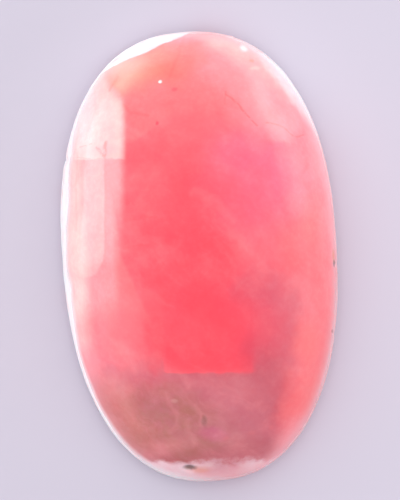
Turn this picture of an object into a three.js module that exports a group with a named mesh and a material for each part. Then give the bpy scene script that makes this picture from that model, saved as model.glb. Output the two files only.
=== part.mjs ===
// A polished oval rhodochrosite cabochon: one stone with a high dome, a thin girdle band that
// leans inwards, and a flat back with a small bevel. It lies on its back, dome up.
// Millimetres, +Z up. The stone's length runs along Y, its broader end towards +Y.
// The origin is the middle of the flat back.
import * as THREE from "three";

// The stone's overall size
const LENGTH = 20.0;
const WIDTH = 12.2;
const THICKNESS = 6.0;

// The outline is a superellipse: a power of 2 would be a plain ellipse.
const OVAL_POWER = 2.34;
// Share by which the +Y end is broader than an even oval, and the -Y end narrower
const BROAD_END = 0.023;

// The bevel round the back, as wide as it is high
const BACK_BEVEL = 0.35;
// The girdle band runs from the bevel up to here, and leans inwards by this much
const BAND_TOP = 1.2;
const BAND_LEAN = 0.16;

// The dome is an arc from straight up to this angle, stretched to the dome's own height
const DOME_ARC = THREE.MathUtils.degToRad(78);

const SIDES = 72;
const DOME_RINGS = 20;
const BACK_RINGS = 3;

const STONE_COLOUR = 0xe8727f;
const STONE_ROUGHNESS = 0.1;

// A signed power, which keeps the sign of its base
function signedPower(base, power) {
  return Math.sign(base) * Math.abs(base) ** power;
}

// A point of the outline at an angle from +X, moved inwards by inset and then shrunk to a share
// of its distance from the middle
function outlinePoint(angle, inset, share) {
  const bend = 2 / OVAL_POWER;
  const across = signedPower(Math.cos(angle), bend);
  const along = signedPower(Math.sin(angle), bend);
  const edge = new THREE.Vector2(
    (WIDTH / 2) * across * (1 + BROAD_END * along),
    (LENGTH / 2) * along,
  );
  const outwards = new THREE.Vector2(
    signedPower(Math.cos(angle), 2 - bend) / WIDTH,
    signedPower(Math.sin(angle), 2 - bend) / LENGTH,
  ).normalize();
  return edge.addScaledVector(outwards, -inset).multiplyScalar(share);
}

// The rings of the stone from the middle of its back to the top of its dome. Each ring has its
// height, how far it is moved in from the outline, and its share of the distance from the middle.
function stoneRings() {
  const rings = [];
  for (let k = 0; k <= BACK_RINGS; k += 1) {
    rings.push({ height: 0, inset: BACK_BEVEL, share: k / BACK_RINGS });
  }
  rings.push({ height: BACK_BEVEL, inset: 0, share: 1 });
  for (let k = 0; k <= DOME_RINGS; k += 1) {
    const angle = DOME_ARC * (1 - k / DOME_RINGS);
    const rise = (Math.cos(angle) - Math.cos(DOME_ARC)) / (1 - Math.cos(DOME_ARC));
    rings.push({
      height: BAND_TOP + (THICKNESS - BAND_TOP) * rise,
      inset: BAND_LEAN,
      share: Math.sin(angle) / Math.sin(DOME_ARC),
    });
  }
  return rings;
}

// A round lathe of the rings, with every point then moved to its place on the oval
function stoneGeometry() {
  const rings = stoneRings();
  const profile = rings.map((ring) => new THREE.Vector2(ring.share, ring.height));
  const geometry = new THREE.LatheGeometry(profile, SIDES);
  const position = geometry.getAttribute("position");
  for (let side = 0; side <= SIDES; side += 1) {
    const angle = ((side % SIDES) / SIDES) * 2 * Math.PI;
    rings.forEach((ring, k) => {
      const point = outlinePoint(angle, ring.inset, ring.share);
      position.setXYZ(side * rings.length + k, point.x, point.y, ring.height);
    });
  }
  geometry.computeVertexNormals();
  return geometry;
}

const polishedStone = new THREE.MeshStandardMaterial({
  color: STONE_COLOUR,
  roughness: STONE_ROUGHNESS,
  metalness: 0,
});

const cabochon = new THREE.Mesh(stoneGeometry(), polishedStone);
cabochon.name = "cabochon";

const rhodochrosite = new THREE.Group();
rhodochrosite.add(cabochon);

export default rhodochrosite;
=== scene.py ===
"""A polished oval rhodochrosite cabochon on a pale floor, seen from straight above."""

import math

import bmesh
import bpy
from mathutils import Matrix, Vector, noise


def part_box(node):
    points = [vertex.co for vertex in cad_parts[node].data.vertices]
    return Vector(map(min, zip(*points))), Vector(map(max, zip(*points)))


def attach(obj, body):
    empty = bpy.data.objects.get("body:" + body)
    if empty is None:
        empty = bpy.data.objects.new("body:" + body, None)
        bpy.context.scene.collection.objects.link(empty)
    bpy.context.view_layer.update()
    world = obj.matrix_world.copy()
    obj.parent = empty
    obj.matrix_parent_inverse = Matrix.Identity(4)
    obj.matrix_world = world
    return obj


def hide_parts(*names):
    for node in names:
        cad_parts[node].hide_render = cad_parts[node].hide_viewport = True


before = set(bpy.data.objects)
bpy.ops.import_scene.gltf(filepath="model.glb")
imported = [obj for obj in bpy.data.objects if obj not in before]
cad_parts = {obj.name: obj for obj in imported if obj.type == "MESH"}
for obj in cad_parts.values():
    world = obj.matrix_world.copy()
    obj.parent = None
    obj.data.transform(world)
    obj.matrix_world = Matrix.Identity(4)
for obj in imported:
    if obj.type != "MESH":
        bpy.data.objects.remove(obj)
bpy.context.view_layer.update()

MM = 0.001

# The stone's box, from the frame
STONE_LOW, STONE_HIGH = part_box("cabochon")
HALF_WIDTH = (STONE_HIGH.x - STONE_LOW.x) / 2
HALF_LENGTH = (STONE_HIGH.y - STONE_LOW.y) / 2
THICKNESS = STONE_HIGH.z - STONE_LOW.z

# The stone's outline, back, girdle band and dome, as they were cut
OVAL_POWER = 2.34
BROAD_END = 0.023
BACK_BEVEL = 0.35 * MM
BAND_TOP = 1.2 * MM
DOME_ARC = math.radians(78)

# The ground band, in millimetres as seen from above, by direction in degrees from +X
BAND_WIDTHS = [
    (0, 0.07),
    (35, 0.08),
    (60, 0.14),
    (80, 0.1),
    (100, 0.12),
    (112, 0.09),
    (119, 0.1),
    (125, 0.13),
    (132, 0.17),
    (139, 0.23),
    (147, 0.3),
    (156, 0.38),
    (166, 0.26),
    (180, 0.17),
    (188, 0.28),
    (198, 0.22),
    (215, 0.13),
    (240, 0.12),
    (270, 0.12),
    (320, 0.08),
    (360, 0.07),
]
BAND_RAGGEDNESS = 0.15

# The flat ground at the upper left: a plane through FACET_TOP at FACET_REACH from the middle
FACET_DIRECTION = 110.2
FACET_REACH = 9.2 * MM
FACET_TOP = 2.0 * MM
FACET_TILT = 67.8

# The unevenness of the polish and of the ground band
DOME_WAVES = 0.008 * MM
BAND_MARKS = 0.012 * MM

# Chips and pits in millimetres: x, y, radius, depth, which is below 0 for a raised speck
PITS = [
    (-1.04, -9.26, 0.24, 0.14),
    (-1.25, -9.22, 0.16, 0.08),
    (-4.26, 7.55, 0.2, 0.03),
    (-5.4, 6.1, 0.2, 0.035),
    (-5.62, 4.66, 0.24, 0.06),
    (5.95, -0.75, 0.22, 0.06),
    (5.72, -3.75, 0.16, 0.05),
    (2.05, 9.62, 0.14, -0.05),
]

# How finely the stone is turned
SIDES = 400
BACK_RINGS = 18
BEVEL_RINGS = 4
BAND_RINGS = 10
DOME_RINGS = 120

# Where the photo has the stone: its middle and its lean, on a picture of 400 by 500 pixels
PICTURE_WIDTH_PX = 400
PICTURE_HEIGHT_PX = 500
STONE_X_PX = 199.75
STONE_Y_PX = 256.46
STONE_LENGTH_PX = 450.0
STONE_LEAN = math.radians(3.78)
CAMERA_DISTANCE = 160 * MM
SENSOR = 36.0

# The floor, in metres and as linear light
FLOOR_HALF_WIDTH = 0.6
FLOOR_COLOUR = (0.585, 0.55, 0.645, 1.0)

# The even light all round, and how far the cards hang above the floor in millimetres
STUDIO_COLOUR = (0.98, 0.96, 1.0, 1.0)
STUDIO_STRENGTH = 0.4
CARD_LIFT = 0.1


# The stone's shape


def signed_power(base, power):
    """A power that keeps the sign of its base."""
    return math.copysign(abs(base) ** power, base)


def smooth(t):
    """A smooth step from 0 at 0 to 1 at 1."""
    t = min(1.0, max(0.0, t))
    return t * t * (3 - 2 * t)


def band_width(angle):
    """How wide the ground band looks from above, in a direction in degrees anticlockwise from +X."""
    angle %= 360
    for (start, first), (end, last) in zip(BAND_WIDTHS, BAND_WIDTHS[1:]):
        if angle <= end:
            return (first + (last - first) * smooth((angle - start) / (end - start))) * MM
    return BAND_WIDTHS[0][1] * MM


def outline_point(angle, inset, share):
    """A point of the outline, moved inwards by inset, at a share of its way from the middle."""
    bend = 2 / OVAL_POWER
    across = signed_power(math.cos(angle), bend)
    along = signed_power(math.sin(angle), bend)
    edge = Vector((HALF_WIDTH * across * (1 + BROAD_END * along), HALF_LENGTH * along))
    outwards = Vector(
        (
            signed_power(math.cos(angle), 2 - bend) / HALF_WIDTH,
            signed_power(math.sin(angle), 2 - bend) / HALF_LENGTH,
        )
    ).normalized()
    return (edge - outwards * inset) * share


def inset_at(height, band):
    """How far the side of the stone is in from its outline at a height, where the band is this wide."""
    if height < BACK_BEVEL:
        return BACK_BEVEL - height
    return band * min(1.0, (height - BACK_BEVEL) / (BAND_TOP - BACK_BEVEL))


def dome_height(share):
    """The height of the dome at a share of the way from its top to its foot."""
    angle = math.asin(min(1.0, share) * math.sin(DOME_ARC))
    rise = (math.cos(angle) - math.cos(DOME_ARC)) / (1 - math.cos(DOME_ARC))
    return BAND_TOP + (THICKNESS - BAND_TOP) * rise


def profile_points():
    """The stone's half section, as (share of the width, height), from the middle of the back to the top."""
    points = [(k / BACK_RINGS, 0.0) for k in range(BACK_RINGS + 1)]
    points += [(1.0, BACK_BEVEL * k / BEVEL_RINGS) for k in range(1, BEVEL_RINGS + 1)]
    rise = BAND_TOP - BACK_BEVEL
    points += [(1.0, BACK_BEVEL + rise * k / BAND_RINGS) for k in range(1, BAND_RINGS + 1)]
    for k in range(1, DOME_RINGS + 1):
        share = math.sin(DOME_ARC * (1 - k / DOME_RINGS)) / math.sin(DOME_ARC)
        points.append((share, dome_height(share)))
    return points


def turned_blank():
    """A round stone of the right heights, one unit in radius, spun from its half section."""
    stone = bmesh.new()
    rings = [stone.verts.new((share, 0, height)) for share, height in profile_points()]
    section = [stone.edges.new(pair) for pair in zip(rings, rings[1:])]
    bmesh.ops.spin(
        stone,
        geom=rings + section,
        cent=(0, 0, 0),
        axis=(0, 0, 1),
        angle=2 * math.pi,
        steps=SIDES,
        use_merge=True,
    )
    bmesh.ops.remove_doubles(stone, verts=stone.verts[:], dist=1e-6)
    bmesh.ops.recalc_face_normals(stone, faces=stone.faces[:])
    return stone


def make_oval(stone):
    """Moves every point of the round blank to its place on the oval stone."""
    for v in stone.verts:
        share = math.hypot(v.co.x, v.co.y)
        height = v.co.z
        if height > BAND_TOP:
            height = dome_height(share)
        angle = math.atan2(v.co.y, v.co.x)
        edge = outline_point(angle, 0, 1)
        band = band_width(math.degrees(math.atan2(edge.y, edge.x)))
        band *= 1 + BAND_RAGGEDNESS * noise.noise(Vector((edge.x, edge.y, 0)) / MM * 0.9)
        place = outline_point(angle, inset_at(height, band), share)
        v.co = (place.x, place.y, height)


def grind_facet(stone):
    """Grinds the flat at the upper left: what stands outside its plane is pressed back to it."""
    direction = math.radians(FACET_DIRECTION)
    tilt = math.radians(FACET_TILT)
    outwards = Vector((math.cos(direction), math.sin(direction), 0))
    upwards = Vector((0, 0, 1))
    normal = outwards * math.sin(tilt) + upwards * math.cos(tilt)
    through = outwards * FACET_REACH + upwards * FACET_TOP
    for v in stone.verts:
        outside = (v.co - through).dot(normal)
        if outside > 0 and v.co.z > BACK_BEVEL:
            v.co -= normal * outside


def add_relief(stone):
    """Gives the dome its slight waviness, the ground band its tool marks, and the chips and pits."""
    stone.normal_update()
    for v in stone.verts:
        if v.co.z < BACK_BEVEL / 2:
            continue
        here = v.co / MM
        ground = 1 - smooth((v.co.z - BAND_TOP) / (0.3 * MM))
        depth = DOME_WAVES * noise.noise(here / 3.1) + DOME_WAVES / 3 * noise.noise(here / 1.1)
        depth += ground * BAND_MARKS * noise.noise(here / 0.45)
        for x, y, radius, deep in PITS:
            away = math.hypot(here.x - x, here.y - y) / radius
            if away < 1:
                depth += deep * MM * (1 - away * away) ** 2
        v.co -= v.normal * depth


def finished(shape, name):
    """Makes a bmesh an object of the scene."""
    mesh = bpy.data.meshes.new(name)
    shape.to_mesh(mesh)
    shape.free()
    made = bpy.data.objects.new(name, mesh)
    bpy.context.scene.collection.objects.link(made)
    return made


def build_stone():
    """The whole stone as one smooth object."""
    shape = turned_blank()
    make_oval(shape)
    grind_facet(shape)
    add_relief(shape)
    made = finished(shape, "polished_cabochon")
    faces = made.data.polygons
    faces.foreach_set("use_smooth", [True] * len(faces))
    return made


# Materials

# Where a Mix node has its factor, its two colours and its result
MIX_FACTOR = 0
MIX_FIRST = 6
MIX_SECOND = 7
MIX_RESULT = 2


class Wire:
    """An output in a node tree. Sums and products of wires and numbers add Math nodes."""

    def __init__(self, tree, socket):
        self.tree = tree
        self.socket = socket

    def node(self, kind, settings=(), sockets=(), output=0):
        """Adds a node: its settings are set first, then each socket gets its value or its wire."""
        made = self.tree.nodes.new(kind)
        for name, value in dict(settings).items():
            setattr(made, name, value)
        for name, value in dict(sockets).items():
            if isinstance(value, Wire):
                self.tree.links.new(value.socket, made.inputs[name])
            else:
                made.inputs[name].default_value = value
        return Wire(self.tree, made.outputs[output])

    def math(self, operation, *others):
        """A Math node on this number and up to two more."""
        return self.node("ShaderNodeMath", {"operation": operation}, enumerate((self, *others)))

    def vector(self, operation, *others, output=0):
        """A Vector Math node on this vector and up to one more."""
        sockets = enumerate((self, *others))
        return self.node("ShaderNodeVectorMath", {"operation": operation}, sockets, output)

    def __add__(self, other):
        return self.math("ADD", other)

    __radd__ = __add__

    def __sub__(self, other):
        return self.math("SUBTRACT", other)

    def __rsub__(self, other):
        return self.math("MULTIPLY_ADD", -1.0, other)

    def __mul__(self, other):
        return self.math("MULTIPLY", other)

    __rmul__ = __mul__

    def size(self):
        """The number without its sign."""
        return self.math("ABSOLUTE")

    def part(self, index):
        """One of the three numbers of a vector."""
        return self.node("ShaderNodeSeparateXYZ", {}, {"Vector": self}, index)

    def ramp(self, low, high):
        """A smooth step from 0 at low to 1 at high."""
        settings = {"interpolation_type": "SMOOTHSTEP"}
        return self.node("ShaderNodeMapRange", settings, {"Value": self, "From Min": low, "From Max": high})

    def centred(self, at, size, turn=0.0):
        """The place in a frame of its own: at a point, turned in degrees, and 1 long at a half size.

        A frame that isn't turned needs no Mapping node. Too many of them overflow the shader's memory.
        """
        if turn == 0:
            return self.vector("SUBTRACT", (*at, 0.0)).vector("DIVIDE", (*size, 1.0))
        sockets = {
            "Vector": self,
            "Location": (*at, 0.0),
            "Rotation": (0.0, 0.0, math.radians(turn)),
            "Scale": (*size, 1.0),
        }
        return self.node("ShaderNodeMapping", {"vector_type": "TEXTURE"}, sockets)

    def spot(self, at, size, soft=0.3, turn=0.0):
        """A mask that is 1 inside an oval with these half sizes, with an edge soft by a share of them."""
        return 1 - self.centred(at, size, turn).vector("LENGTH", output="Value").ramp(1 - soft, 1 + soft)

    def window(self, at, size, soft=(0.1, 0.1), turn=0.0):
        """A mask that is 1 inside a rectangle with these half sizes, with soft edges."""
        inner = self.centred(at, size, turn)
        across = 1 - inner.part(0).size().ramp(1 - soft[0], 1 + soft[0])
        along = 1 - inner.part(1).size().ramp(1 - soft[1], 1 + soft[1])
        return across * along

    def past(self, at, direction, soft=0.2):
        """A mask that goes from 0 to 1 across a line through a point, in a direction in degrees."""
        a = math.radians(direction)
        away = (math.cos(a), math.sin(a), 0.0)
        from_line = self.vector("SUBTRACT", (*at, 0.0)).vector("DOT_PRODUCT", away, output="Value")
        return from_line.ramp(-soft, soft)

    def crack(self, points, width):
        """A mask that is 1 on a line through the points and fades out at this width from it."""
        nearest = None
        for start, end in zip(points, points[1:]):
            run = Vector((end[0] - start[0], end[1] - start[1], 0))
            from_start = self.vector("SUBTRACT", (*start, 0))
            share = from_start.vector("DOT_PRODUCT", run / run.length_squared, output="Value")
            share = share.node("ShaderNodeClamp", {}, {"Value": share})
            sockets = {"Vector": run, "Scale": share}
            along = share.node("ShaderNodeVectorMath", {"operation": "SCALE"}, sockets)
            distance = from_start.vector("DISTANCE", along, output="Value")
            nearest = distance if nearest is None else nearest.math("MINIMUM", distance)
        return 1 - nearest.ramp(0, width)

    def cloud(self, size, detail=3.0, roughness=0.5, stretch=(1, 1, 1), turn=0.0):
        """Noise with lumps of a size in millimetres, from about 0.3 to 0.7."""
        sockets = {"Vector": self, "Rotation": (0, 0, math.radians(turn)), "Scale": stretch}
        space = self.node("ShaderNodeMapping", {"vector_type": "TEXTURE"}, sockets)
        sockets = {"Vector": space, "Scale": 1 / size, "Detail": detail, "Roughness": roughness}
        return self.node("ShaderNodeTexNoise", {}, sockets)

    def wander(self, scale, detail, reach):
        """A drift across the face, up to about half this reach each way, from noise of a scale."""
        sockets = {"Vector": self, "Scale": scale, "Detail": detail}
        drift = self.node("ShaderNodeTexNoise", {}, sockets, "Color")
        return drift.vector("SUBTRACT", (0.5, 0.5, 0.5)).vector("MULTIPLY", (reach, reach, 0.0))

    def mix(self, first, second, mask, blend_type="MIX"):
        """A colour that goes from the first to the second as a mask goes from 0 to 1."""
        settings = {"data_type": "RGBA", "blend_type": blend_type}
        sockets = {MIX_FACTOR: mask, MIX_FIRST: first, MIX_SECOND: second}
        return self.node("ShaderNodeMix", settings, sockets, MIX_RESULT)

    def under(self, colour, mask):
        """This colour, with another laid over it where the mask is 1."""
        return self.mix(self, colour, mask)

    def times(self, colour, mask):
        """This colour, multiplied by another where the mask is 1."""
        return self.mix(self, colour, mask, "MULTIPLY")


def new_material(name):
    """A material with an empty node tree, its place in millimetres as a wire, and its output node."""
    made = bpy.data.materials.new(name)
    made.use_nodes = True
    made.node_tree.nodes.clear()
    output = made.node_tree.nodes.new("ShaderNodeOutputMaterial")
    coordinates = made.node_tree.nodes.new("ShaderNodeTexCoord").outputs["Object"]
    place = Wire(made.node_tree, coordinates).vector("MULTIPLY", (1000.0, 1000.0, 1000.0))
    return made, place, output


# A line that is level in the picture, on the leaning stone: its turn in degrees, and its fall
LEVEL_TURN = -math.degrees(STONE_LEAN)
LEVEL_FALL = math.tan(STONE_LEAN)

# Colours of the stone, and of its painted reflections, highlights and shade, as linear light

DEEP_RED = (0.98, 0.07, 0.11, 1.0)
ROSE = (0.98, 0.125, 0.16, 1.0)
SALMON = (0.97, 0.2, 0.215, 1.0)
PALE_PINK = (0.96, 0.33, 0.36, 1.0)
MILK_AND_SHEEN = (0.95, 0.62, 0.57, 1.0)
ORCHID = (0.98, 0.165, 0.27, 1.0)
PINK_EDGE_GLOW = (0.96, 0.43, 0.46, 1.0)
PEACH = (0.97, 0.29, 0.2, 1.0)
PALE_PEACH = (0.96, 0.4, 0.31, 1.0)
DULL_ROSE = (0.55, 0.1, 0.143, 1.0)
BROWN_ROSE = (0.41, 0.108, 0.088, 1.0)
MAGENTA = (0.6, 0.08, 0.18, 1.0)
CORAL = (0.97, 0.17, 0.15, 1.0)
SANDY_ROSE = (0.55, 0.2, 0.15, 1.0)
ORANGE_ROSE = (0.98, 0.165, 0.13, 1.0)
FROSTED_AND_SHEEN = (0.91, 0.83, 0.85, 1.0)
HIGHLIGHT_WHITE = (0.96, 0.93, 0.94, 1.0)
FROSTED_PINK = (0.96, 0.5, 0.53, 1.0)
CALCITE = (0.93, 0.7, 0.75, 1.0)
STAIN = (0.12, 0.07, 0.05, 1.0)
RUST = (0.75, 0.28, 0.18, 1.0)
MAUVE_SHADE = (0.74, 1.02, 1.12, 1.0)
FOOT_SHADE = (0.88, 0.78, 0.9, 1.0)
DARKER = (0.98, 0.8, 0.83, 1.0)
LIGHTER = (1.0, 1.12, 1.1, 1.0)
FINE_LINE = (0.9, 0.66, 0.66, 1.0)
DUST = (0.95, 0.88, 0.88, 1.0)

# Fine fractures: points in millimetres from the stone's middle, half width, how dark
FRACTURES = [
    ([(1.53, 7.23), (1.6, 6.95), (1.85, 6.76), (2.37, 6.11), (2.65, 5.75), (2.85, 5.5)], 0.07, 0.8),
    ([(1.56, 6.96), (1.53, 6.56)], 0.08, 0.4),
    ([(3.25, 5.59), (3.86, 5.46), (4.28, 5.11), (4.58, 4.92), (4.86, 5.01)], 0.07, 0.7),
    ([(4.93, 3.9), (4.9, 3.6), (4.6, 3.2), (4.86, 2.7)], 0.2, 0.35),
    ([(-4.13, 5.02), (-3.98, 4.8), (-3.82, 4.58), (-3.76, 5.2)], 0.13, 0.95),
    ([(-4.92, 5.1), (-4.5, 5.22), (-4.14, 5.24)], 0.06, 0.6),
    ([(-5.1, 4.68), (-4.4, 4.56), (-3.5, 4.5)], 0.05, 0.5),
    ([(-5.07, 4.88), (-5.12, 4.3), (-5.19, 3.56), (-5.34, 1.5)], 0.1, 0.35),
    ([(-3.1, 8.1), (-3.3, 7.8), (-3.44, 7.5)], 0.12, 0.6),
    ([(-2.9, 6.8), (-2.61, 6.45), (-1.83, 6.26)], 0.12, 0.45),
    ([(-0.1, 9.6), (-0.42, 8.71), (-0.77, 7.96)], 0.14, 0.35),
    ([(-3.11, 1.78), (-2.37, 1.84), (-1.72, 1.81)], 0.12, 0.3),
    ([(-3.23, 0.58), (-1.88, 0.7)], 0.1, 0.25),
    ([(-0.35, -6.9), (-0.22, -7.05), (-0.27, -7.2)], 0.1, 0.8),
]

# Soft patches: x and y in millimetres, half width and half length, colour, how much of it
PATCHES = [
    (0.4, -2.9, 2.2, 0.9, DEEP_RED, 0.5),
    (-3.6, -2.7, 0.9, 0.8, ROSE, 0.4),
    (-2.5, -1.8, 0.9, 0.6, ROSE, 0.35),
    (-0.9, 2.6, 0.8, 0.8, DEEP_RED, 0.45),
    (0.1, 5.7, 1.2, 0.5, ROSE, 0.5),
    (-3.9, 4.85, 0.75, 0.35, PALE_PINK, 0.45),
    (-5.3, -2.7, 0.4, 0.6, SALMON, 0.35),
    (-5.0, -4.4, 0.4, 0.9, PALE_PINK, 0.45),
    (-4.4, -5.4, 0.4, 0.5, PALE_PINK, 0.2),
    (-3.9, -5.6, 0.8, 0.7, BROWN_ROSE, 0.2),
    (2.4, 5.9, 0.7, 0.5, PALE_PINK, 0.35),
    (2.8, 0.5, 0.9, 0.8, PALE_PINK, 0.15),
    (4.5, -4.1, 0.6, 0.9, CORAL, 0.45),
    (-0.9, 8.2, 0.7, 0.5, ORANGE_ROSE, 0.4),
    (-2.9, 8.0, 0.7, 0.5, PEACH, 0.3),
]

# Small marks: x and y in millimetres, half width and half length, colour, how much of it
SPECKS = [
    (-1.22, 7.73, 0.07, 0.07, DUST, 0.9),
    (2.55, 9.02, 0.16, 0.16, DUST, 0.8),
    (2.85, 8.4, 0.12, 0.07, RUST, 0.5),
    (2.96, 8.07, 0.2, 0.07, MILK_AND_SHEEN, 0.5),
    (-1.44, 5.87, 0.07, 0.09, DEEP_RED, 0.8),
    (-0.59, 7.32, 0.12, 0.09, DEEP_RED, 0.5),
    (-1.21, 1.0, 0.2, 0.14, DEEP_RED, 0.5),
    (0.62, -7.96, 0.12, 0.08, CORAL, 0.1),
    (1.76, -7.82, 0.15, 0.08, CORAL, 0.1),
    (2.65, -7.67, 0.1, 0.1, CORAL, 0.1),
    (-1.5, -6.15, 0.14, 0.08, MILK_AND_SHEEN, 0.14),
    (-0.28, -7.1, 0.12, 0.2, STAIN, 0.35),
    (5.62, -3.7, 0.05, 0.08, STAIN, 0.5),
    (5.9, -0.4, 0.06, 0.3, RUST, 0.7),
    (5.91, -0.69, 0.06, 0.13, STAIN, 0.75),
]


def lay_spots(colour, near, spots, soft, share=1.0):
    """Lays a list of spots over a colour, with edges this soft, as far as the share allows."""
    for x, y, half_width, half_length, shade, amount in spots:
        mask = near.spot((x, y), (half_width, half_length), soft)
        colour = colour.under(shade, amount * share * mask)
    return colour


def paint_heart(colour, near, far):
    """The deep red heart, paler towards the upper end and the right, partly as painted reflection."""
    x = near.part(0)
    y = near.part(1)
    # Paler towards the upper end and the right: partly the stone's own zoning, partly painted reflection
    colour = colour.under(SALMON, 0.95 * y.ramp(4.2, 8.0))
    colour = colour.under(PALE_PINK, 0.5 * y.ramp(7.8, 9.6))
    colour = colour.under(SALMON, 0.9 * x.ramp(2.2, 5.6))
    colour = colour.under(PALE_PINK, 0.45 * x.ramp(4.9, 6.1) * y.ramp(-2.0, 3.0))

    # The heart, an orchid cloud above it, and two small clouds on the right
    colour = colour.under(DEEP_RED, 0.95 * far.spot((0.0, -2.0), (2.5, 3.9), 0.55, 15))
    colour = colour.under(ORCHID, 0.8 * far.spot((2.7, 3.4), (2.0, 2.3), 0.7, 10))
    colour = colour.under(DEEP_RED, 0.4 * far.spot((0.0, 2.5), (2.6, 1.5), 0.6))
    colour = colour.under(PALE_PINK, 0.12 * near.spot((4.45, 2.5), (0.35, 1.2), 0.6, -5))
    colour = colour.under(CORAL, 0.4 * near.spot((5.05, 1.4), (0.45, 1.1), 0.7, -15))

    # A faint streak, and the clearest red, which ends squarely at the foot
    streak = near.crack([(-0.1, 2.85), (0.8, 2.35), (1.5, 1.5)], 0.35)
    colour = colour.under(PALE_PINK, 0.16 * streak)
    clearest = near.window((0.16, -3.4), (1.92, 1.7), (0.08, 0.5), LEVEL_TURN)
    return colour.under(DEEP_RED, 0.85 * clearest)


def paint_left_flank(colour, flat, near):
    """The pale flank on the left, partly milky stone and partly painted reflection of a bright panel, split
    by a level seam, and the slanting veil of painted reflection beside it.
    """
    x = flat.part(0)
    y = flat.part(1)
    panel_reflection = flat.past((-3.0, 5.0), 180 + LEVEL_TURN, 0.2) * y.ramp(1.0, 3.6)
    lower_panel_reflection = near.past((-3.55, 1.2), 178, 0.25)
    panel_reflection = panel_reflection.math("MAXIMUM", lower_panel_reflection) * near.past((-3.0, 7.1), 213, 0.25)
    colour = colour.under(SALMON, 0.9 * panel_reflection * y.ramp(-3.7, -1.4))
    colour = colour.under(PALE_PINK, 0.62 * panel_reflection * y.ramp(-2.7, -0.9))

    # Milkier above the seam, where the painted reflection is brightest
    reflection_above_seam = panel_reflection * near.past((-4.27, 4.53), 86.0, 0.05)
    colour = colour.under(MILK_AND_SHEEN, reflection_above_seam * (0.95 - 0.35 * x.ramp(-5.0, -3.4)))
    colour = colour.under(FROSTED_AND_SHEEN, 0.45 * reflection_above_seam * (1 - x.ramp(-5.2, -4.0)))
    colour = colour.under(PALE_PINK, 0.35 * near.spot((-3.7, 5.5), (0.35, 0.9), 0.7, -4))
    colour = colour.under(FROSTED_AND_SHEEN, 0.35 * near.spot((-4.6, 6.5), (0.45, 1.4), 0.7, -22))

    # A paler strip of painted reflection with a rounded end below the seam, and the pale margin of the
    # stone, a painted highlight
    strip = near.window((-4.58, 2.95), (0.62, 2.35), (0.08, 0.04), LEVEL_TURN)
    strip = strip.math("MAXIMUM", near.spot((-5.0, 0.6), (0.87, 1.2), 0.06))
    colour = colour.under(MILK_AND_SHEEN, 0.3 * strip)
    painted_light_margin = (1 - x.ramp(-5.35, -4.65)) * y.ramp(-6.0, -1.8)
    painted_light_margin = painted_light_margin * (1 - 0.4 * near.spot((-4.7, -2.6), (0.5, 1.0), 0.7))
    colour = colour.under(MILK_AND_SHEEN, 0.85 * painted_light_margin)

    # A slanting veil of painted reflection beside the flank
    veil = near.past((-2.75, -1.5), 201, 0.1) * near.past((-2.7, -2.5), 80, 0.5) * (1 - y.ramp(0.4, 0.9))
    return colour.under(SALMON, 0.5 * veil * (1 - panel_reflection))


def paint_upper_end(colour, near, far):
    """The peach cloud at the upper left, and the milky corner at the upper right, which is painted
    reflection with painted highlights.
    """
    colour = colour.under(PEACH, 0.75 * far.spot((-2.0, 8.4), (1.7, 0.8), 0.6, 25))
    colour = colour.under(PALE_PEACH, 0.5 * near.spot((-3.0, 7.95), (0.6, 0.7), 0.6, -20))
    wedge = near.past((-1.8, 5.6), 119, 0.12) * near.spot((-1.9, 6.3), (1.4, 1.3), 0.4)
    colour = colour.under(SALMON, 0.7 * wedge)

    # The milky corner, a painted reflection which ends at a slanting line, with the pale margin beside it,
    # also painted reflection
    corner_reflection = near.past((2.4, 6.0), 42, 0.6) * near.past((3.4, 4.8), 80, 0.15)
    corner_reflection = corner_reflection * (1 - near.past((4.55, 5.0), -35, 0.35))
    colour = colour.under(PALE_PINK, 0.75 * corner_reflection)
    colour = colour.under(SALMON, 0.3 * near.spot((3.54, 5.93), (0.35, 0.35), 0.8))
    colour = colour.under(PALE_PINK, 0.3 * near.spot((2.8, 5.0), (0.5, 0.6), 0.8))
    painted_light_margin = near.part(0).ramp(3.9, 5.6) * near.part(1).ramp(0.0, 4.0)
    colour = colour.under(PALE_PINK, 0.65 * painted_light_margin)
    # Painted highlights: milky towards the upper-right rim and at the top
    colour = colour.under(MILK_AND_SHEEN, 0.5 * near.past((3.8, 7.3), 52.5, 0.7))
    colour = colour.under(MILK_AND_SHEEN, 0.65 * near.spot((2.2, 9.5), (1.5, 0.7), 0.7, -25))
    # An orange rose cloud at the top
    colour = colour.under(ORANGE_ROSE, 0.6 * far.spot((-0.4, 8.4), (1.3, 0.9), 0.6, 10))
    # A painted highlight: the white lens at the rim of the upper right
    return colour.under(HIGHLIGHT_WHITE, near.past((4.1, 7.38), 33.8, 0.3))


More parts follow.
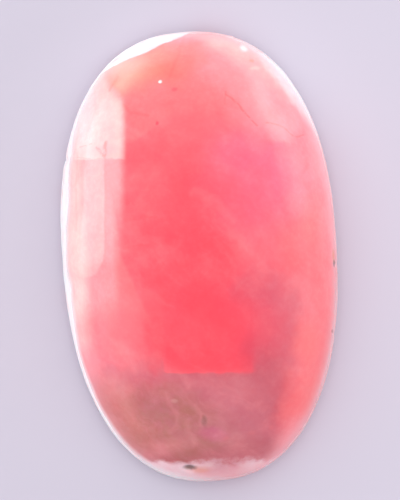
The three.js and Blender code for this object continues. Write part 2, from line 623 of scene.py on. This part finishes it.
def paint_foot(colour, flat, near, far, clouds):
    """The foot below a level edge, dulled and darkened by painted reflection and painted shade, browner on
    the left, with a coral right side and a chalky end.
    """
    # Painted reflection and shade below the clearest red, where the edge is crisp, and softly so to both
    # sides of it
    level = flat.part(1) + flat.part(0) * LEVEL_FALL
    crisp = near.window((0.15, -7.5), (1.95, 3.5), (0.08, 0.05), LEVEL_TURN)
    crisp = crisp * (1 - level.ramp(-5.22, -4.88))
    drifting_level = far.part(1) + far.part(0) * LEVEL_FALL
    soft = (1 - drifting_level.ramp(-5.25, -3.45)) * (1 - near.part(0).ramp(2.5, 4.3))
    clearest = near.window((0.16, -3.98), (1.92, 1.05), (0.08, 0.08), LEVEL_TURN)
    foot_reflection_and_shade = crisp.math("MAXIMUM", soft * (1 - clearest))
    colour = colour.under(DULL_ROSE, 0.95 * foot_reflection_and_shade)

    # Painted shade over the middle of the foot, brown on the left, a magenta speck, coral on the right
    colour = colour.times(FOOT_SHADE, 0.85 * far.spot((-0.5, -7.0), (2.9, 1.1), 0.6, -4))
    brown = far.spot((-1.9, -7.3), (2.3, 1.6), 0.5, -15)
    colour = colour.under(BROWN_ROSE, (0.5 + 0.5 * clouds.ramp(0.35, 0.65)) * brown)
    colour = colour.under(MAGENTA, 0.7 * near.spot((0.1, -7.75), (0.6, 0.3), 0.6, -10))
    colour = colour.under(BROWN_ROSE, 0.3 * foot_reflection_and_shade * (1 - level.ramp(-8.4, -7.4)))
    colour = colour.under(CORAL, 0.45 * far.spot((4.1, -6.6), (0.9, 1.5), 0.7, -25))
    colour = colour.under(PALE_PINK, 0.6 * near.spot((3.6, -8.15), (1.0, 0.6), 0.7, 40))
    # Painted shade on two spots of the foot
    colour = colour.times(FOOT_SHADE, 0.7 * near.spot((-2.5, -6.5), (0.9, 0.7), 0.7))
    colour = colour.times(FOOT_SHADE, 0.6 * near.spot((0.3, -7.55), (0.7, 0.4), 0.7))
    colour = colour.under(SANDY_ROSE, 0.5 * near.spot((-4.0, -6.7), (0.9, 1.9), 0.6, 30))

    # Thin veils and wisps
    veil = far.cloud(0.9, 4.0, 0.65, (1.0, 1.6, 1.0), 60)
    colour = colour.under(PALE_PINK, 0.12 * foot_reflection_and_shade * veil.ramp(0.45, 0.7))
    wisps = far.crack([(-1.9, -5.9), (-1.72, -6.6), (-1.7, -7.4)], 0.22)
    wisps = wisps.math("MAXIMUM", near.crack([(-0.63, -6.4), (-0.4, -6.9), (-0.45, -7.3)], 0.14))
    colour = colour.under(PALE_PINK, 0.1 * wisps)
    colour = colour.under(PALE_PINK, 0.3 * near.spot((-2.1, -8.25), (0.9, 0.35), 0.9, 8))

    # The chalky end, with a pit and its rust
    end = 1 - (level + (clouds - 0.5) * 0.9).ramp(-9.2, -8.8)
    colour = colour.under(CALCITE, 0.8 * end * (1 - 0.45 * far.spot((0.4, -9.2), (1.0, 1.2), 0.6)))
    colour = colour.under(RUST, 0.7 * near.spot((-0.61, -9.35), (0.4, 0.16), 0.7, -12))
    return colour.under(STAIN, 0.9 * near.spot((-1.04, -9.22), (0.26, 0.11), 0.6))


def paint_clouding(colour, near, haze, mottle, veils, grain):
    """Clouding at four scales, soft patches, and the fine fractures."""
    colour = colour.under(PALE_PINK, 0.16 * haze.ramp(0.4, 0.75))
    colour = colour.times(DARKER, 0.7 * mottle.ramp(0.35, 0.75))
    colour = colour.under(PALE_PINK, 0.14 * veils.ramp(0.45, 0.75))
    colour = colour.times(LIGHTER, 0.7 * grain.ramp(0.4, 0.7))
    colour = lay_spots(colour, near, PATCHES, 0.8)
    for points, half_width, amount in FRACTURES:
        colour = colour.times(FINE_LINE, amount * near.crack(points, half_width) * grain.ramp(0.3, 0.55))
    return colour


def paint_rims(colour, flat, above_band, beyond_flat, left, painted_highlight_side):
    """A painted glow in the thin rim low on the dome, whiter on some sides with painted highlights, and the
    milky strip beside the ground flat.
    """
    glow = 1 - above_band.ramp(0, 1.3)
    colour = colour.under(PINK_EDGE_GLOW, 0.7 * glow * (1 - 0.6 * left))
    narrow_glow = 1 - above_band.ramp(0, 0.7)
    low_right = 0.35 * flat.spot((5.6, -4.3), (0.9, 2.2), 0.7, -12)
    colour = colour.under(FROSTED_AND_SHEEN, 0.8 * narrow_glow * painted_highlight_side.math("MAXIMUM", low_right))
    strip = beyond_flat.ramp(-0.9, 0) * (1 - flat.part(0).ramp(-3.2, -1.0))
    return colour.under(MILK_AND_SHEEN, 0.55 * strip)


def paint_ground(colour, place, ground, highlight_side_and_flat, lap_marks):
    """The frosted finish of what is ground and not polished: the band, the ground flat and the back."""
    patches = place.cloud(0.9, 3.0, 0.6, (1.6, 1.6, 0.7))
    colour = colour.under(FROSTED_PINK, ground * 0.8)
    # Whiter where painted highlights fall on the left and upper right, and on the ground flat
    colour = colour.under(FROSTED_AND_SHEEN, ground.math("MINIMUM", highlight_side_and_flat) * 0.85)
    colour = colour.under(SALMON, ground * 0.35 * patches.ramp(0.48, 0.75))
    return colour.times(FINE_LINE, ground * 0.65 * lap_marks.ramp(0.5, 0.7))


def rhodochrosite():
    """The polished stone: a deep red heart, milky rims and flanks with painted reflections, glow and
    highlights, a foot with painted reflection and shade, and a frosted ground band.
    """
    material, place, output = new_material("polished_rhodochrosite")

    # The place seen from above: as it is, with slightly uneven edges, and with drifting edges
    drift = place.wander(0.55, 3.0, 1.8)
    ripple = place.wander(1.6, 2.0, 0.2)
    flat = place.vector("MULTIPLY", (1.0, 1.0, 0.0))
    near = flat.vector("ADD", ripple)
    far = near.vector("ADD", drift)

    haze = place.cloud(2.6, 4.0, 0.6)
    mottle = place.cloud(1.0, 4.0, 0.6)
    grain = place.cloud(0.22, 2.0, 0.6)
    veils = far.cloud(1.1, 3.0, 0.6, (1.0, 3.5, 1.0), 48)

    colour = place.mix(ROSE, SALMON, haze.ramp(0.4, 0.7)).under(ROSE, 0.6)
    colour = paint_heart(colour, near, far)
    colour = colour.times(MAUVE_SHADE, 0.95 * far.spot((2.75, -3.2), (1.6, 3.2), 0.6, 6))
    colour = colour.times(MAUVE_SHADE, 0.2 * far.spot((2.8, -1.7), (1.7, 1.7), 0.8))
    colour = paint_upper_end(colour, near, far)
    colour = paint_left_flank(colour, flat, near)
    colour = paint_foot(colour, flat, near, far, mottle)
    colour = paint_clouding(colour, near, haze, mottle, veils, grain)

    # How far above the band and outside the ground flat a point is, and the sides with painted highlights
    # on their rims
    above_band = place.part(2) - BAND_TOP / MM
    a = math.radians(FACET_DIRECTION)
    beyond_flat = near.part(0) * math.cos(a) + near.part(1) * math.sin(a) - FACET_REACH / MM
    left = 1 - flat.part(0).ramp(-2.0, 1.0)
    painted_highlight_side = left.math("MAXIMUM", flat.past((4.0, 7.3), 38, 0.7))
    colour = paint_rims(colour, flat, above_band, beyond_flat, left, painted_highlight_side)

    on_band = 1 - (above_band + (mottle - 0.5) * 0.3).ramp(-0.05, 0.15)
    on_flat = beyond_flat.ramp(-0.05, 0.05)
    ground = on_band.math("MAXIMUM", on_flat)
    lap_marks = place.cloud(0.16, 3.0, 0.6, (14.0, 14.0, 1.0))
    colour = paint_ground(colour, place, ground, painted_highlight_side.math("MAXIMUM", on_flat), lap_marks)
    colour = lay_spots(colour, near, SPECKS, 0.6, above_band.ramp(-0.5, -0.2))

    relief = {"Strength": 0.35, "Distance": 0.02 * MM, "Height": ground * (grain + lap_marks)}
    sockets = {
        "Base Color": colour,
        "Roughness": 0.16 + ground * 0.36 + mottle * 0.05,
        "IOR": 1.65,
        "Subsurface Weight": 0.8,
        "Subsurface Radius": (1.0, 0.45, 0.4),
        "Subsurface Scale": 2.2 * MM,
        "Normal": place.node("ShaderNodeBump", {}, relief),
    }
    surface = place.node("ShaderNodeBsdfPrincipled", {}, sockets)
    place.tree.links.new(surface.socket, output.inputs["Surface"])
    return material


def floor_material():
    """Plain pale paper, almost without a sheen."""
    material, place, output = new_material("floor_paper")
    sockets = {"Base Color": FLOOR_COLOUR, "Roughness": 0.9, "Specular IOR Level": 0.2}
    surface = place.node("ShaderNodeBsdfPrincipled", {}, sockets)
    place.tree.links.new(surface.socket, output.inputs["Surface"])
    return material


# Floor, camera and lights


def add_floor():
    """One flat sheet under the stone."""
    plane = bmesh.new()
    bmesh.ops.create_grid(plane, x_segments=1, y_segments=1, size=FLOOR_HALF_WIDTH)
    made = finished(plane, "floor")
    made.data.materials.append(floor_material())


def picture_axes():
    """The directions on the floor that are up and right in the picture."""
    up = Vector((math.sin(STONE_LEAN), math.cos(STONE_LEAN), 0))
    right = Vector((math.cos(STONE_LEAN), -math.sin(STONE_LEAN), 0))
    return up, right


def add_camera():
    """A camera straight above, turned so that the stone leans as in the photo."""
    pixel = 2 * HALF_LENGTH / STONE_LENGTH_PX
    up, right = picture_axes()
    aim = right * (PICTURE_WIDTH_PX / 2 - STONE_X_PX) * pixel
    aim += up * (STONE_Y_PX - PICTURE_HEIGHT_PX / 2) * pixel
    data = bpy.data.cameras.new("camera")
    data.sensor_width = SENSOR
    data.lens = SENSOR * (CAMERA_DISTANCE - BACK_BEVEL) / (PICTURE_HEIGHT_PX * pixel)
    data.clip_start = 1 * MM
    data.clip_end = 10.0
    camera = bpy.data.objects.new("camera", data)
    turn = Matrix((right, up, Vector((0, 0, 1)))).transposed().to_4x4()
    camera.matrix_world = Matrix.Translation(aim + Vector((0, 0, CAMERA_DISTANCE))) @ turn
    bpy.context.scene.collection.objects.link(camera)
    bpy.context.scene.camera = camera


def area_light(name, width, height, radiance):
    """A rectangular light, unseen by the camera, with its sizes in millimetres."""
    data = bpy.data.lights.new(name, "AREA")
    data.shape = "RECTANGLE"
    data.size = width * MM
    data.size_y = height * MM
    data.energy = radiance * math.pi * data.size * data.size_y
    light = bpy.data.objects.new(name, data)
    light.visible_camera = False
    bpy.context.scene.collection.objects.link(light)
    return light


def add_softbox(name, direction, elevation, distance, width, height, radiance):
    """A light that faces the stone from a distance in millimetres.

    Direction is an angle in the picture, anticlockwise from its right, and elevation is above the floor.
    """
    box = area_light(name, width, height, radiance)
    a = math.radians(direction) - STONE_LEAN
    e = math.radians(elevation)
    back = Vector((math.cos(a) * math.cos(e), math.sin(a) * math.cos(e), math.sin(e)))
    box.location = back * distance * MM
    box.rotation_mode = "QUATERNION"
    box.rotation_quaternion = back.to_track_quat("Z", "Y")
    return box


def fade_edges(data, ends, foot, top):
    """Fades a light out towards its ends, its foot and its upper edge, over shares of its size."""
    data.use_nodes = True
    tree = data.node_tree
    tree.nodes.clear()
    place = Wire(tree, tree.nodes.new("ShaderNodeNewGeometry").outputs["Parametric"])
    along = place.part(0)
    upwards = place.part(1)
    strength = along.ramp(0.0, ends[0]) * (1 - along).ramp(0.0, ends[1])
    strength = strength * upwards.ramp(0.0, foot) * (1 - upwards).ramp(0.0, top)
    glow = place.node("ShaderNodeEmission", {}, {"Color": (1, 1, 1, 1), "Strength": strength})
    output = tree.nodes.new("ShaderNodeOutputLight")
    tree.links.new(glow.socket, output.inputs["Surface"])


def add_card(name, x, y, outwards, length, height, radiance, ends=(0.02, 0.02), foot=0.02, top=0.02):
    """A bright card that stands on the floor just outside the picture and faces the stone.

    x and y are the middle of its foot in millimetres, right and up in the picture.
    """
    up, right = picture_axes()
    a = math.radians(outwards)
    back = right * math.cos(a) + up * math.sin(a)
    upright = Vector((0, 0, 1))
    card = area_light(name, length, height, radiance)
    fade_edges(card.data, ends, foot, top)
    turn = Matrix((upright.cross(back), upright, back)).transposed().to_4x4()
    middle = (right * x + up * y + upright * (height / 2 + CARD_LIFT)) * MM
    card.matrix_world = Matrix.Translation(middle) @ turn
    return card


def light_only(box, lit):
    """Keeps a light off everything but the objects given."""
    group = bpy.data.collections.new(box.name + "_lights")
    for thing in lit:
        group.objects.link(thing)
    box.light_linking.receiver_collection = group


def add_lights(stone):
    """An even studio, fills that leave no reflections, and cards that light the stone alone."""
    world = bpy.data.worlds.new("studio")
    world.use_nodes = True
    background = world.node_tree.nodes["Background"]
    background.inputs["Color"].default_value = STUDIO_COLOUR
    background.inputs["Strength"].default_value = STUDIO_STRENGTH
    bpy.context.scene.world = world
    for fill in (
        add_softbox("overhead_fill", 100, 80, 200, 400, 400, 1.2),
        add_softbox("right_fill", -35, 22, 120, 120, 60, 1.6),
        add_softbox("upper_left_fill", 130, 22, 120, 120, 60, 0.8),
        add_softbox("upper_right_fill", 45, 20, 120, 120, 60, 1.2),
    ):
        fill.visible_glossy = False
    left_card = add_card("left_card", -10.2, 4.5, 180, 15, 7.8, 2.0, ends=(0.1, 0.35), top=0.15)
    left_fill = add_softbox("left_fill", 172, 12, 100, 100, 40, 3.5)
    left_fill.visible_glossy = False
    low_card = add_card("low_card", 3, -18, 270, 36, 20, 1.0, ends=(0.05, 0.4), foot=0.3)
    for card in (
        left_card,
        left_fill,
        low_card,
        add_card("low_left_card", -10.2, -9, 180, 14, 11, 0.7, ends=(0.02, 0.3), foot=0.3),
        add_card("top_left_card", -4, 12.8, 90, 14, 6, 1.3, ends=(0.6, 0.1), foot=0.3, top=0.9),
        add_card("top_right_card", 8, 12.8, 75, 14, 7, 1.4, ends=(0.3, 0.5), foot=0.5, top=0.9),
        add_card("right_card", 10.4, 8, 0, 18, 6.6, 1.4, ends=(0.5, 0.1), foot=0.6, top=0.15),
    ):
        light_only(card, [stone])
    for card in (left_card, low_card):
        card.visible_diffuse = False
    bpy.context.scene.view_settings.view_transform = "Standard"


add_camera()
add_floor()

stone = build_stone()
stone.data.materials.append(rhodochrosite())
add_lights(stone)
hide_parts("cabochon")
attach(stone, "root")
